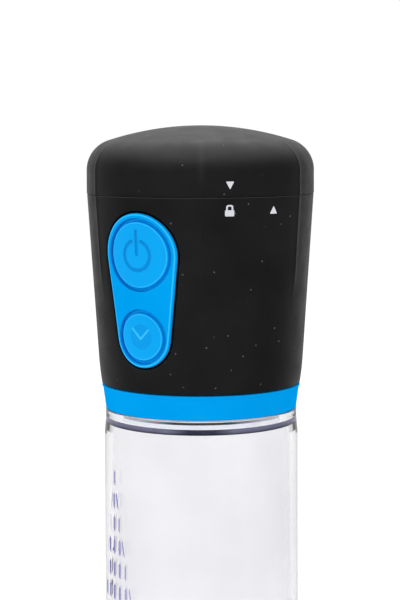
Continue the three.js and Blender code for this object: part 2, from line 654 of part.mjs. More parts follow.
function addReleaseValve() {
  const body = box(-5.5, 5.5, -VALVE_FAR, -VALVE_NEAR, PLATE_HIGH + GAP, 240.4);
  const bore = keyPin(RELEASE_Z, 3.3, VALVE_NEAR + 2, VALVE_FAR + 1, 20);
  const passage = pin(0, -16, 1, PLATE_HIGH, RELEASE_Z);
  add("release_valve_body", cut(body, bore, passage), GREY, core);
  const piston = keyPin(RELEASE_Z, 3, 14.6, 17.6, 20);
  const rod = keyPin(RELEASE_Z, 1.5, 17, 26);
  const head = keyPin(RELEASE_Z, 3.2, 25.6, STEM_END - 0.5, 16);
  add("valve_stem", join(piston, rod, head), BRASS, core);
  const spring = coil(2.4, 2.4, 3.4, 4, 0.3).rotateX(90 * DEG);
  add("valve_spring", spring.translate(0, -21.3, RELEASE_Z), SPRING, core);
}

// Wires

function addWires() {
  const wire = (name, points, material) => add(name, alongPath(points, 0.6, 6, 14), material, core);
  wire("motor_wire_red", [
    [-23.9, 6, 232], [-24.2, -3, 233.5], [-19, -14.5, 234.5], [-12, -19.5, 236],
    [-7.6, -20.2, 239.5], [-7.2, -19.2, 244], [-7.2, -18.8, 250.5],
  ], RED);
  wire("motor_wire_black", [
    [-23.9, 6, 230], [-24.2, -3, 231.5], [-19, -14.5, 232.5], [-12.4, -20, 234],
    [-8, -22, 238.4], [-5.6, -21, 242], [-4.6, -19.2, 245.5], [-4.6, -18.7, 250.5],
  ], DARK_RUBBER);
  const cellRoute = (side) => [[side, -17, 244.4], [side, -17.4, 247.5], [side * 0.9, -18.9, 252.5]];
  wire("battery_wire_red", cellRoute(7.6), RED);
  wire("battery_wire_black", cellRoute(5.4), DARK_RUBBER);
}

addCylinder();
addBaseSleeve();
addHousing();
addBatteryCap();
addCouplingRing();
addBasePlate();
addKeypadFrame();
addKeys();
addControlBoard();
addBatteryTray();
addCells();
addContactCarrier();
addMotor();
addCrank();
addPumpHead();
addMotorClamp();
addReleaseValve();
addWires();

export default assembly;
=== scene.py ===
"""Looks of a hand-held battery vacuum pump on a clear cylinder.

Shapes are worked out in millimetres and become metres when a mesh is made.
An azimuth is measured about +Z from the front, -Y, and grows towards +X.
"""
import json
import math

import bmesh
import bpy
from mathutils import Matrix, Vector
from mathutils.geometry import delaunay_2d_cdt
from mathutils.kdtree import KDTree
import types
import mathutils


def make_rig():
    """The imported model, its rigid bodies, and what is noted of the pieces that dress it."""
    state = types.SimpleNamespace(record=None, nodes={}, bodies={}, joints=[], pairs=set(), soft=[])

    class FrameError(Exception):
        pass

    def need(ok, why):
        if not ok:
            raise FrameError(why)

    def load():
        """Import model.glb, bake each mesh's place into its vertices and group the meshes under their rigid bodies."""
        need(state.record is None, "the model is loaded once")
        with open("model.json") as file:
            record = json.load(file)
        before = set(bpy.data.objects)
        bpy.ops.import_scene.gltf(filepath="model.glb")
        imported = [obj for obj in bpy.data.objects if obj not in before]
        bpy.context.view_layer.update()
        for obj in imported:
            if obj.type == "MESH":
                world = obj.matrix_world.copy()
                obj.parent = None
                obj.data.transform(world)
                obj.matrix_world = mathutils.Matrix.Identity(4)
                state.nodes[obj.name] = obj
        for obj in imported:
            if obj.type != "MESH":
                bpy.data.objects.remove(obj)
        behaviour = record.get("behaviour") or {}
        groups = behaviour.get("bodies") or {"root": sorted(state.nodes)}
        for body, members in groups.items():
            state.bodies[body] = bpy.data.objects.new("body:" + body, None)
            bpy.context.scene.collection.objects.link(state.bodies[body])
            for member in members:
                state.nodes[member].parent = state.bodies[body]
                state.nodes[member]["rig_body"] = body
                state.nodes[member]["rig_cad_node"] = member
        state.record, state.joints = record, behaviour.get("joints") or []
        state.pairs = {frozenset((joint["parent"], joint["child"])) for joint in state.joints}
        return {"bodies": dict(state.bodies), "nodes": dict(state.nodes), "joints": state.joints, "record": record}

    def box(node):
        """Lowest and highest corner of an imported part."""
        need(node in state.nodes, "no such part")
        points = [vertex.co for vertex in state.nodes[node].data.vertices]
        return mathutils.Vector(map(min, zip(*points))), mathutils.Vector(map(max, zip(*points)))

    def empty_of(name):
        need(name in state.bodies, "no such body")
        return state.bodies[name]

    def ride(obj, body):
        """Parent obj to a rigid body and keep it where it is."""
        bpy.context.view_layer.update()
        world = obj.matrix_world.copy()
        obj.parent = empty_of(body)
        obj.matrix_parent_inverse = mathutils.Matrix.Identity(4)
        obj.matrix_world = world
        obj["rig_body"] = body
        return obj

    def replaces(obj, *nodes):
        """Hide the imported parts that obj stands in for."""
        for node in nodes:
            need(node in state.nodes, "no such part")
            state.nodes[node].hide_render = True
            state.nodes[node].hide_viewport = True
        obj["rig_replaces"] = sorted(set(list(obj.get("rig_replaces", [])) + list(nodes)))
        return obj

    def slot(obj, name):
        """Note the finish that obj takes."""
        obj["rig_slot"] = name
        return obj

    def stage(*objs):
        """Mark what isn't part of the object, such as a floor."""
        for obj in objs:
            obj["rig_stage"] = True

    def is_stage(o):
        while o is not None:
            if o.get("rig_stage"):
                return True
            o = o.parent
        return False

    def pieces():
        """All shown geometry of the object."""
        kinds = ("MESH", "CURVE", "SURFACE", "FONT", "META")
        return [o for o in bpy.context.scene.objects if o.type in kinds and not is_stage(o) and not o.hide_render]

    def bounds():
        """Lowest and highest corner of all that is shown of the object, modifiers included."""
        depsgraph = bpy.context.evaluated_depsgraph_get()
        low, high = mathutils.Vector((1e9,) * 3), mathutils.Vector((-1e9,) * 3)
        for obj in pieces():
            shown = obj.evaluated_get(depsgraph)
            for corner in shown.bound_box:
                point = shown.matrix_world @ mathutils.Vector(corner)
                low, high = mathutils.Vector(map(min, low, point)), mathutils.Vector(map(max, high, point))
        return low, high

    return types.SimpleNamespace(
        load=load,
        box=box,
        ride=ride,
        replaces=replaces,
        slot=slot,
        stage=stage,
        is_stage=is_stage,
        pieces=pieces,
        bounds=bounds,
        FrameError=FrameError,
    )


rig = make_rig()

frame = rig.load()
CAD_LOW, CAD_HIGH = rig.bounds()

MM = 0.001
WELD = 0.002  # points closer than this are one point
ROUND_STEPS = 240  # sides of the large round pieces
SHARP = 32  # degrees; edges that turn further are shaded sharp


def box_mm(node):
    """The two corners of a CAD node's box, in millimetres."""
    low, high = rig.box(node)
    return low / MM, high / MM


# Sizes that the frame gives
RING_BOX = box_mm("coupling_ring")
CAP_BOX = box_mm("battery_cap")
SLEEVE_BOX = box_mm("base_sleeve")
SEAL_BOX = box_mm("spigot_seal")
TUBE_BOX = box_mm("cylinder")

GAP = 0.3
HEAD_LOW = RING_BOX[1].z + GAP
CAP_LOW = CAP_BOX[0].z
SEAM = CAP_LOW - GAP
HEAD_TOP = CAP_BOX[1].z
TUBE_TOP = TUBE_BOX[1].z

# Sizes that part.mjs and this script share
TUBE_R = 31.0
TUBE_BORE_R = 28.4
RIM_R = 30.6
RIM_BORE_R = 25.8
RIM_DEPTH = 2.8
SHOULDER_DEPTH = 2.0
FOOT_R = 35.0
FOOT_LOW = 3.0
FOOT_HIGH = 9.0
SIDE_R = 32.13
SIDE_SLOPE = 0.0673
TUCK = 0.4
TUCK_HEIGHT = 8.0
CAP_R = 36.3
FILLET_R = 10.0
CROWN_R = 95.0
WALL = 2.3
HEX_LOW = 245.0
HEX_HIGH = 257.0
HEX_OFFSET = 0.09
COLLAR_R = 32.4
COLLAR_BORE_R = 30.4
COLLAR_TOP = 286.0
LUG_LOW = 280.6
LUG_HIGH = 283.0
LUG_HALF = 5.0
LUG_TURN = 24.0
KEY_AZIMUTH = -32.9
POWER_Z = 260.7
POWER_R = 10.15
POWER_HOLE_R = 11.25
PAD_POWER_R = 12.8
RELEASE_Z = 235.5
RELEASE_R = 7.3
RELEASE_HOLE_R = 8.5
PAD_RELEASE_R = 9.6
PAD_CLEARANCE = 0.65
PAD_PROUD = 0.5
KEY_FACE = 0.35
GROOVE_FLOOR = -0.9

# The head's creases, whose azimuths and fine ridges differ from part.mjs
CREASES = (0.5, 57.0, 118.0, 180.0, 242.0, 297.5)  # azimuths of the soft hexagon's corners
CREASE_RISE = 0.15  # a fine ridge runs down each crease
CREASE_REACH = 1.1  # degrees


# Outlines and numbers


def smoothstep(x, low, high):
    t = min(1.0, max(0.0, (x - low) / (high - low)))
    return t * t * (3 - 2 * t)


def rounded(corners, steps=4, closed=True):
    """Points of an outline of (x, y, radius) corners, each rounded by its radius."""
    points = []
    count = len(corners)
    for i, (x, y, radius) in enumerate(corners):
        here = Vector((x, y))
        end = not closed and i in (0, count - 1)
        if radius <= 0 or end:
            points.append(here)
            continue
        before = Vector(corners[i - 1][:2]) - here
        after = Vector(corners[(i + 1) % count][:2]) - here
        half = before.angle(after) / 2
        reach = min(radius / math.tan(half), before.length * 0.49, after.length * 0.49)
        start = here + before.normalized() * reach
        finish = here + after.normalized() * reach
        for j in range(steps + 1):
            t = j / steps
            points.append(start * (1 - t) ** 2 + here * 2 * t * (1 - t) + finish * t ** 2)
    return [(p.x, p.y) for p in points]


def side_radius(z):
    """The head's round radius at a level, before the soft hexagon stands out."""
    tuck = max(0.0, 1 - (z - HEAD_LOW) / TUCK_HEIGHT)
    return min(CAP_R, SIDE_R + SIDE_SLOPE * (z - HEAD_LOW) - TUCK * tuck * tuck)


def hex_factor(azimuth, z):
    """How far the soft hexagon stands out from the round section."""
    turn = (azimuth - CREASES[0]) % 360 + CREASES[0]
    start, end = next(p for p in zip(CREASES, CREASES[1:] + (CREASES[0] + 360,)) if p[0] <= turn <= p[1])
    from_face = math.radians(((turn - start) / (end - start) - 0.5) * 60)
    across = HEX_OFFSET * math.sin(from_face)
    reach = math.sqrt((1 + HEX_OFFSET) ** 2 - across ** 2) - HEX_OFFSET * math.cos(from_face)
    ridge = CREASE_RISE / CAP_R * math.exp(-(min(turn - start, end - turn) / CREASE_REACH) ** 2)
    return 1 + (reach - 1 + ridge) * smoothstep(z, HEX_LOW, HEX_HIGH)


def polar(radius, azimuth, z):
    a = math.radians(azimuth)
    return (radius * math.sin(a), -radius * math.cos(a), z)


def on_skin(azimuth, z, offset=0.0):
    """A point on the head's side wall, offset outwards."""
    return polar(side_radius(z) * hex_factor(azimuth, z) + offset, azimuth, z)


def key_azimuth(t, z, offset=0.0):
    """The azimuth at which the skin is t across from the keypad's middle line."""
    turn = 0.0
    for _ in range(6):
        radius = side_radius(z) * hex_factor(KEY_AZIMUTH + turn, z) + offset
        turn = math.degrees(math.asin(max(-1, min(1, t / radius))))
    return KEY_AZIMUTH + turn


def on_pad(t, z, offset=0.0):
    """A point of the keypad, t across and z high, offset outwards from the skin."""
    return on_skin(key_azimuth(t, z, offset), z, offset)


def pad_outline(margin):
    """The keypad's outline grown by a margin, as evenly spaced (t, z) points."""
    spacing = 0.7
    big, small = PAD_POWER_R + margin, PAD_RELEASE_R + margin
    span = POWER_Z - RELEASE_Z
    lean = math.asin((PAD_POWER_R - PAD_RELEASE_R) / span)
    half_turn = math.pi + 2 * lean
    arc_steps = round(PAD_POWER_R * half_turn / spacing)
    low_steps = round(PAD_RELEASE_R * (math.pi - 2 * lean) / spacing)
    line_steps = round(span / spacing)
    top = [-lean + half_turn * i / arc_steps for i in range(arc_steps + 1)]
    low = [math.pi + lean + (math.pi - 2 * lean) * i / low_steps for i in range(low_steps + 1)]
    points = [(big * math.cos(a), POWER_Z + big * math.sin(a)) for a in top]
    below = [(small * math.cos(a), RELEASE_Z + small * math.sin(a)) for a in low]
    points += between(points[-1], below[0], line_steps)
    points += below
    points += between(below[-1], points[0], line_steps)
    return points


def between(start, end, steps):
    """The points strictly between two points."""
    shares = [i / steps for i in range(1, steps)]
    return [tuple(a + (b - a) * s for a, b in zip(start, end)) for s in shares]


def circle(t, z, radius, count):
    turns = [2 * math.pi * i / count for i in range(count)]
    return [(t + radius * math.cos(a), z + radius * math.sin(a)) for a in turns]


def to_segment(point, start, end):
    """The distance from a point to a straight segment."""
    p, a, b = Vector(point), Vector(start), Vector(end)
    along = b - a
    share = max(0.0, min(1.0, (p - a).dot(along) / along.length_squared))
    return (p - a - along * share).length


# Meshes


class Shell:
    """Gathers points and faces in millimetres and makes one welded object of them."""

    def __init__(self):
        self.points = []
        self.faces = []
        self.materials = []

    def add(self, points, faces, material=0):
        """Adds faces. material is one slot, or a list with a slot for each face."""
        start = len(self.points)
        self.points += points
        self.faces += [[start + i for i in face] for face in faces]
        self.materials += material if isinstance(material, list) else [material] * len(faces)

    def strip(self, loops, material=0, closed=True):
        """Quads between neighbouring loops of equal length."""
        count = len(loops[0])
        faces = []
        for row in range(len(loops) - 1):
            for i in range(count if closed else count - 1):
                j = (i + 1) % count
                a, b = row * count, (row + 1) * count
                faces.append([a + i, a + j, b + j, b + i])
        self.add([p for loop in loops for p in loop], faces, material)

    def fan(self, loop, centre):
        """Triangles from a loop to one point."""
        count = len(loop)
        faces = [[i, (i + 1) % count, count] for i in range(count)]
        self.add(list(loop) + [centre], faces)

    def fill(self, loops, onto, spacing, extra=(), shade=None):
        """Triangles between flat loops, which onto turns into points of a curved surface.

        shade gives the material slot at a flat point.
        """
        flat, rims = [], []
        for loop in loops:
            rims.append(list(range(len(flat), len(flat) + len(loop))))
            flat += loop
        flat += inner_points(loops, spacing)
        flat += extra
        found = delaunay_2d_cdt([Vector(p) for p in flat], [], rims, 0, 1e-6)
        faces = [list(face) for face, inside in zip(found[2], found[5]) if len(inside) % 2]
        shades = 0
        if shade:
            middles = [sum((found[0][i] for i in face), Vector((0, 0))) / len(face) for face in faces]
            shades = [shade(*middle) for middle in middles]
        self.add([onto(*p) for p in found[0]], faces, shades)

    def sector(self, inner, outer, start, end, low, high):
        """A closed block between two radii, two azimuths and two heights."""
        steps = 12
        angles = [start + (end - start) * i / steps for i in range(steps + 1)]
        corners = [(inner, low), (outer, low), (outer, high), (inner, high)]
        loops = [[polar(r, a, z) for r, z in corners] for a in angles]
        self.strip(loops)
        for loop in (loops[0], loops[-1]):
            self.add(list(loop), [[0, 1, 2, 3]])

    def object(self, name, materials, sharp=SHARP):
        mesh = bpy.data.meshes.new(name)
        work = bmesh.new()
        corners = [work.verts.new(Vector(p) * MM) for p in self.points]
        for face, material in zip(self.faces, self.materials):
            try:
                work.faces.new([corners[i] for i in face]).material_index = material
            except ValueError:
                continue  # the same face twice
        bmesh.ops.remove_doubles(work, verts=work.verts, dist=WELD * MM)
        loose = [v for v in work.verts if not v.link_faces]
        bmesh.ops.delete(work, geom=loose, context="VERTS")
        bmesh.ops.recalc_face_normals(work, faces=work.faces)
        work.to_mesh(mesh)
        work.free()
        for material in materials:
            mesh.materials.append(material)
        mesh.shade_smooth()
        mesh.set_sharp_from_angle(angle=math.radians(sharp))
        piece = bpy.data.objects.new(name, mesh)
        bpy.context.scene.collection.objects.link(piece)
        return piece


def inner_points(loops, spacing):
    """A staggered grid of points over the loops, kept clear of their edges."""
    edge = [p for loop in loops for p in loop]
    near = KDTree(len(edge))
    for index, (x, y) in enumerate(edge):
        near.insert((x, y, 0), index)
    near.balance()
    low_x, low_y = (min(p[axis] for p in loops[0]) for axis in (0, 1))
    high_x, high_y = (max(p[axis] for p in loops[0]) for axis in (0, 1))
    rise = spacing * math.sqrt(3) / 2
    points = []
    for row in range(1, int((high_y - low_y) / rise) + 1):
        y = low_y + row * rise
        for column in range(int((high_x - low_x) / spacing) + 1):
            x = low_x + (column + (row % 2) / 2) * spacing
            if near.find((x, y, 0))[2] > spacing * 0.6:
                points.append((x, y))
    return points


def even_angles():
    return [360 * i / ROUND_STEPS for i in range(ROUND_STEPS)]


def skin_angles():
    """The even angles, with more of them across each crease."""
    near = [(c + d) % 360 for c in CREASES for d in (-1.4, -1.0, -0.7, -0.4, 0, 0.4, 0.7, 1.0, 1.4)]
    far = [a for a in even_angles() if min(abs(a - n) for n in near) > 0.15]
    return sorted(near + far)


def turned(outline):
    """A solid of revolution from a closed outline of (radius, z) points."""
    shell = Shell()
    loops = [[polar(r, a, z) for a in even_angles()] for r, z in outline]
    shell.strip(loops + loops[:1])
    return shell


def place(piece, body, slot, *nodes):
    """Puts a finished piece on its body, in place of CAD nodes."""
    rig.ride(piece, body)
    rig.slot(piece, slot)
    if nodes:
        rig.replaces(piece, *nodes)
    return piece


def carve(piece, cutter):
    """Cuts a closed mesh out of the piece, and removes the cutter."""
    step = piece.modifiers.new("carve", "BOOLEAN")
    step.operation = "DIFFERENCE"
    step.solver = "EXACT"
    step.object = cutter
    bpy.context.view_layer.objects.active = piece
    with bpy.context.temp_override(object=piece, active_object=piece, selected_objects=[piece]):
        bpy.ops.object.modifier_apply(modifier=step.name)
    bpy.data.objects.remove(cutter)
    piece.data.shade_smooth()
    piece.data.set_sharp_from_angle(angle=math.radians(SHARP))


# Materials


DUST_SCALE = 260
DUST_SIZE = 0.062
DUST_GREY = (0.11, 0.11, 0.115)
CROWN_FADE = (293, 298)  # levels between which a painted crease highlight fades out


class Nodes:
    """A short way to build a material's nodes round one Principled shader."""

    def __init__(self, name):
        self.material = bpy.data.materials.new(name)
        self.material.use_nodes = True
        self.tree = self.material.node_tree
        self.shader = self.tree.nodes["Principled BSDF"]
        self.place = self.node("ShaderNodeTexCoord").outputs["Object"]

    def node(self, kind, **settings):
        made = self.tree.nodes.new(kind)
        for name, value in settings.items():
            setattr(made, name, value)
        return made

    def link(self, start, end):
        self.tree.links.new(start, end)

    def set(self, **values):
        for name, value in values.items():
            self.shader.inputs[name.replace("_", " ")].default_value = value

    def noise(self, scale, detail, stretch=None):
        made = self.node("ShaderNodeTexNoise")
        made.inputs["Scale"].default_value = scale
        made.inputs["Detail"].default_value = detail
        source = self.place
        if stretch:
            mapping = self.node("ShaderNodeMapping")
            mapping.inputs["Scale"].default_value = stretch
            self.link(source, mapping.inputs["Vector"])
            source = mapping.outputs["Vector"]
        self.link(source, made.inputs["Vector"])
        return made.outputs["Fac"]

    def range(self, source, low, high, from_low=0.3, from_high=0.7):
        """Maps a range of a value to low..high. The usual range is where most noise lies."""
        made = self.node("ShaderNodeMapRange")
        limits = {"From Min": from_low, "From Max": from_high, "To Min": low, "To Max": high}
        for name, value in limits.items():
            made.inputs[name].default_value = value
        self.link(source, made.inputs["Value"])
        return made.outputs["Result"]

    def mix(self, share, first, second):
        """A colour mix. first and second are colours or sockets."""
        made = self.node("ShaderNodeMix", data_type="RGBA")
        self.link(share, made.inputs["Factor"])
        for name, value in (("A", first), ("B", second)):
            socket = [s for s in made.inputs if s.name == name and s.type == "RGBA"][0]
            if isinstance(value, bpy.types.NodeSocket):
                self.link(value, socket)
            else:
                socket.default_value = (*value, 1)
        return [s for s in made.outputs if s.type == "RGBA"][0]

    def along(self, axis, start, end, low, high):
        """A change from low to high between two places on an axis, in millimetres.

        The axis is X or Z, or |X| for the distance from the middle.
        """
        split = self.node("ShaderNodeSeparateXYZ")
        self.link(self.place, split.inputs[0])
        source = split.outputs[axis.strip("|")]
        if "|" in axis:
            source = self.math("ABSOLUTE", source, 0)
        return self.range(source, low, high, start * MM, end * MM)

    def crease_highlight(self, azimuth, reach, low, full):
        """A mask for a painted highlight: a line down the head at an azimuth, reach degrees to each side.

        It fades in from low to full, and out again on the crown.
        """
        split = self.node("ShaderNodeSeparateXYZ")
        self.link(self.place, split.inputs[0])
        forward = self.math("MULTIPLY", split.outputs["Y"], -1)
        turn = self.math("ARCTAN2", split.outputs["X"], forward)
        apart = self.math("ABSOLUTE", self.math("SUBTRACT", turn, math.radians(azimuth)), 0)
        near = self.range(apart, 1, 0, 0, math.radians(reach))
        fade = self.math("MULTIPLY", self.along("Z", low, full, 0, 1), self.along("Z", *CROWN_FADE, 1, 0))
        return self.math("MULTIPLY", near, fade)

    def math(self, operation, first, second):
        made = self.node("ShaderNodeMath", operation=operation)
        for socket, value in zip(made.inputs, (first, second)):
            if isinstance(value, bpy.types.NodeSocket):
                self.link(value, socket)
            else:
                socket.default_value = value
        return made.outputs[0]

    def bump(self, height, strength, distance):
        made = self.node("ShaderNodeBump")
        made.inputs["Strength"].default_value = strength
        made.inputs["Distance"].default_value = distance * MM
        self.link(height, made.inputs["Height"])
        self.link(made.outputs["Normal"], self.shader.inputs["Normal"])


def moulded(name, dark, light, roughness, grain=0.5, grain_mm=0.25, specular=0.5):
    """Moulded plastic or rubber: slight colour drift, uneven gloss and a fine spark-eroded grain."""
    n = Nodes(name)
    drift = n.range(n.noise(60, 4), 0, 1)
    n.link(n.mix(drift, dark, light), n.shader.inputs["Base Color"])
    gloss = n.range(n.noise(180, 3), roughness - 0.05, roughness + 0.05)
    n.link(gloss, n.shader.inputs["Roughness"])
    n.set(Specular_IOR_Level=specular)
    n.bump(n.noise(1000 / grain_mm, 2), grain, 0.02)
    return n


def soft_touch(name, dark, light, roughness):
    """Black soft-touch plastic with specks of dust, and a painted highlight down two of the creases."""
    n = moulded(name, dark, light, roughness, grain=0.35, grain_mm=0.22, specular=0.42)
    cells = n.node("ShaderNodeTexVoronoi")
    cells.inputs["Scale"].default_value = DUST_SCALE
    n.link(n.place, cells.inputs["Vector"])
    dust = n.math("LESS_THAN", cells.outputs["Distance"], DUST_SIZE)
    base = n.shader.inputs["Base Color"].links[0].from_socket
    # painted highlight: a lighter line on the right crease and a faint lighter band on the front crease, where light
    # catches the ridges
    base = n.mix(n.crease_highlight(CREASES[1], 0.5, 252, 264), base, (0.06, 0.06, 0.06))
    base = n.mix(n.crease_highlight(CREASES[0], 2.6, 280, 290), base, (0.02, 0.02, 0.02))
    n.link(n.mix(dust, base, DUST_GREY), n.shader.inputs["Base Color"])
    return n.material


def clear_plastic(name, tint):
    """Clear acrylic: a faint tint and haze, and slow waves in its surface."""
    roughness = 0.012
    n = Nodes(name)
    haze = n.range(n.noise(40, 3), roughness * 0.6, roughness * 1.6)
    n.link(haze, n.shader.inputs["Roughness"])
    colour = n.mix(n.range(n.noise(25, 2), 0, 1), tint, tuple(0.5 + c / 2 for c in tint))
    n.link(colour, n.shader.inputs["Base Color"])
    n.set(Transmission_Weight=1.0, IOR=1.49)
    n.bump(n.noise(30, 1), 0.06, 0.4)
    return n.material


def metal(name, colour, worn, roughness, brushed=(1, 1, 1)):
    """Bare or plated metal. brushed stretches its marks."""
    n = Nodes(name)
    tone = n.range(n.noise(300, 4, stretch=brushed), 0, 1)
    n.link(n.mix(tone, colour, worn), n.shader.inputs["Base Color"])
    gloss = n.range(n.noise(500, 3, stretch=brushed), roughness - 0.08, roughness + 0.1)
    n.link(gloss, n.shader.inputs["Roughness"])
    n.set(Metallic=1.0)
    n.bump(n.noise(2500, 2, stretch=brushed), 0.15, 0.01)
    return n.material


def silicone(name, colour):
    n = moulded(name, tuple(c * 0.93 for c in colour), colour, 0.4, grain=0.2, grain_mm=0.6)
    n.set(Subsurface_Weight=0.5, Subsurface_Scale=0.002, Subsurface_Radius=(1.0, 0.9, 0.8))
    return n


def tinted(name, colour):
    """Frosted plastic whose base colour is worked out by a function of its nodes; its users paint light and shade into
    it.
    """
    grey = (0.5, 0.5, 0.5)
    n = moulded(name, grey, grey, 0.5, grain=0.2, specular=0.1)
    n.link(colour(n), n.shader.inputs["Base Color"])
    return n.material


def scale_edge_painted_light():
    """Moulded scale marks, their colour painted light: violet at the left, where they catch the light, and paler
    towards the right.
    """
    def colour(n):
        pale = n.mix(n.along("X", -18, 0, 0, 1), (0.46, 0.45, 0.62), (0.70, 0.69, 0.76))
        return n.mix(n.along("X", -29, -20, 0, 1), (0.11, 0.105, 0.36), pale)
    return tinted("scale_edge_painted_light", colour)


def rim_painted_refraction():
    """The frosted shoulder under the rim, its colour a painted reflection of the dark head in the clear rim: violet
    grey, nearly black in front of the spigot and darker along the bottom.
    """
    def colour(n):
        wide = n.mix(n.along("|X|", 4, 10, 0, 1), (0.12, 0.122, 0.21), (0.52, 0.51, 0.76))
        return n.mix(n.along("Z", 205.2, 205.9, 0, 1), (0.06, 0.062, 0.08), wide)
    return tinted("rim_painted_refraction", colour)


def seal_gap_painted_shade():
    """The line between the seal's lips, painted shade: dark in the middle and lost towards the sides."""
    def colour(n):
        return n.mix(n.along("|X|", 8, 18, 0, 1), (0.03, 0.028, 0.03), (0.9, 0.92, 0.97))
    return tinted("seal_gap_painted_shade", colour)


BLACK = soft_touch("black_soft_touch", (0.0085, 0.0085, 0.0088), (0.0125, 0.0125, 0.0128), 0.44)
# painted highlight: a lighter grey for the housing's top edge at the seam, standing in for the light that catches that
# lip
SEAM_PAINTED_HIGHLIGHT = moulded("seam_painted_highlight", (0.04, 0.04, 0.041), (0.055, 0.055, 0.056), 0.5).material
BLACK_PLASTIC = moulded("black_plastic", (0.010, 0.010, 0.011), (0.015, 0.015, 0.016), 0.38).material
BLACK_RUBBER = moulded("black_rubber", (0.012, 0.012, 0.012), (0.02, 0.02, 0.02), 0.6, 0.5, 0.4).material
BLUE = moulded("blue_plastic", (0.0, 0.295, 0.74), (0.001, 0.32, 0.78), 0.36, 0.12, specular=0.0).material
BLUE_KEY = moulded("blue_key", (0.0, 0.325, 0.77), (0.001, 0.345, 0.80), 0.42, 0.25, specular=0.05).material
# painted highlight: a lighter blue for the pad's rim, the keys' lips and the raised chevron, where light catches them
BLUE_PAINTED_HIGHLIGHT = moulded("blue_painted_highlight", (0.02, 0.46, 0.95), (0.03, 0.49, 0.98), 0.4, 0.2, specular=0.1).material
# painted shade: darker blues for the power sign and the disc that are sunk into the keys
BLUE_SIGN_PAINTED_SHADE = moulded("blue_sign_painted_shade", (0.0, 0.235, 0.63), (0.001, 0.25, 0.66), 0.4, 0.2, specular=0.05).material
BLUE_DISC_PAINTED_SHADE = moulded("blue_disc_painted_shade", (0.0, 0.285, 0.71), (0.001, 0.305, 0.74), 0.4, 0.2, specular=0.05).material
CLEAR = clear_plastic("clear_plastic", (0.83, 0.825, 0.85))
SCALE_PAINTED_LIGHT = scale_edge_painted_light()
MARK_WHITE = moulded("mark_ink", (0.62, 0.62, 0.67), (0.70, 0.70, 0.75), 0.5, 0.2).material
RIM_PAINTED_REFRACTION = rim_painted_refraction()
SEAL_GAP_PAINTED_SHADE = seal_gap_painted_shade()
SEAL = silicone("seal_silicone", (0.82, 0.82, 0.84)).material
# painted light: the seal's lips glow, to brighten them where they sit in shadow behind the clear rim
SEAL_LIP_GLOW = silicone("seal_lip_painted_glow", (0.90, 0.92, 0.97))
SEAL_LIP_GLOW.set(Emission_Color=(0.85, 0.9, 1.0, 1), Emission_Strength=0.55)
GREY = moulded("grey_plastic", (0.085, 0.09, 0.10), (0.12, 0.125, 0.135), 0.5).material
IVORY = moulded("ivory_plastic", (0.62, 0.59, 0.50), (0.72, 0.68, 0.58), 0.45).material
STEEL = metal("plated_steel", (0.50, 0.51, 0.53), (0.62, 0.63, 0.65), 0.3)
STEEL_CELL = metal("cell_can", (0.05, 0.22, 0.10), (0.06, 0.26, 0.12), 0.3)
SPRING_STEEL = metal("nickel_plate", (0.66, 0.64, 0.60), (0.76, 0.75, 0.72), 0.22)
BRASS = metal("brass", (0.62, 0.42, 0.14), (0.75, 0.54, 0.22), 0.3)
COPPER = metal("copper_windings", (0.48, 0.17, 0.07), (0.66, 0.28, 0.12), 0.35, (1, 1, 12))
FERRITE = moulded("ferrite", (0.02, 0.02, 0.021), (0.045, 0.045, 0.047), 0.75, 0.6, 0.3).material
BOARD = moulded("solder_mask", (0.006, 0.085, 0.03), (0.01, 0.12, 0.045), 0.3, 0.4, 0.9).material
RED = moulded("red_jacket", (0.42, 0.012, 0.008), (0.55, 0.02, 0.012), 0.4).material


# Cap, housing and ring


EDGE = 0.2  # chamfer of the seam's two edges
SEAM_SPARE = 0.1  # the seam looks narrower than the CAD's gap
CAP_EDGE_Z = CAP_LOW - SEAM_SPARE
HOUSING_EDGE_Z = SEAM + SEAM_SPARE
BOSS_R = 4.2
BOSS_LOW = 294.3


def cap_outside():
    """The cap's outside from its lower edge to the axis, as (radius, z)."""
    fillet_r = CAP_R - FILLET_R
    reach = CROWN_R - FILLET_R
    crown_low = HEAD_TOP - CROWN_R
    fillet_z = crown_low + math.sqrt(reach ** 2 - fillet_r ** 2)
    meet = math.atan2(fillet_z - crown_low, fillet_r)
    points = [(CAP_R - EDGE, CAP_EDGE_Z), (CAP_R - EDGE * 0.3, CAP_EDGE_Z + EDGE * 0.3)]
    points += [(CAP_R, z) for z in (CAP_EDGE_Z + EDGE, CAP_LOW + 1, CAP_LOW + 3, CAP_LOW + 5)]
    for i in range(25):
        angle = meet * i / 24
        points.append((fillet_r + FILLET_R * math.cos(angle), fillet_z + FILLET_R * math.sin(angle)))
    for i in range(1, 24):
        angle = meet + (math.pi / 2 - meet) * i / 24
        points.append((CROWN_R * math.cos(angle), crown_low + CROWN_R * math.sin(angle)))
    return points


def cap_inside(outside):
    """The cap's inside from its lower edge to the boss under the crown, as (radius, z)."""
    points = [(CAP_R - WALL, CAP_EDGE_Z)]
    for r, z in outside[3:]:
        inset = (WALL, 0) if r > CAP_R - 5 and z < 289 else (WALL * 0.8, WALL)
        points.append((r - inset[0], z - inset[1]))
    points = [(r, z) for r, z in points if r > BOSS_R + 0.5]
    return points + [(BOSS_R, points[-1][1]), (BOSS_R, BOSS_LOW), (1.2, BOSS_LOW), (1.2, BOSS_LOW + 2.5)]


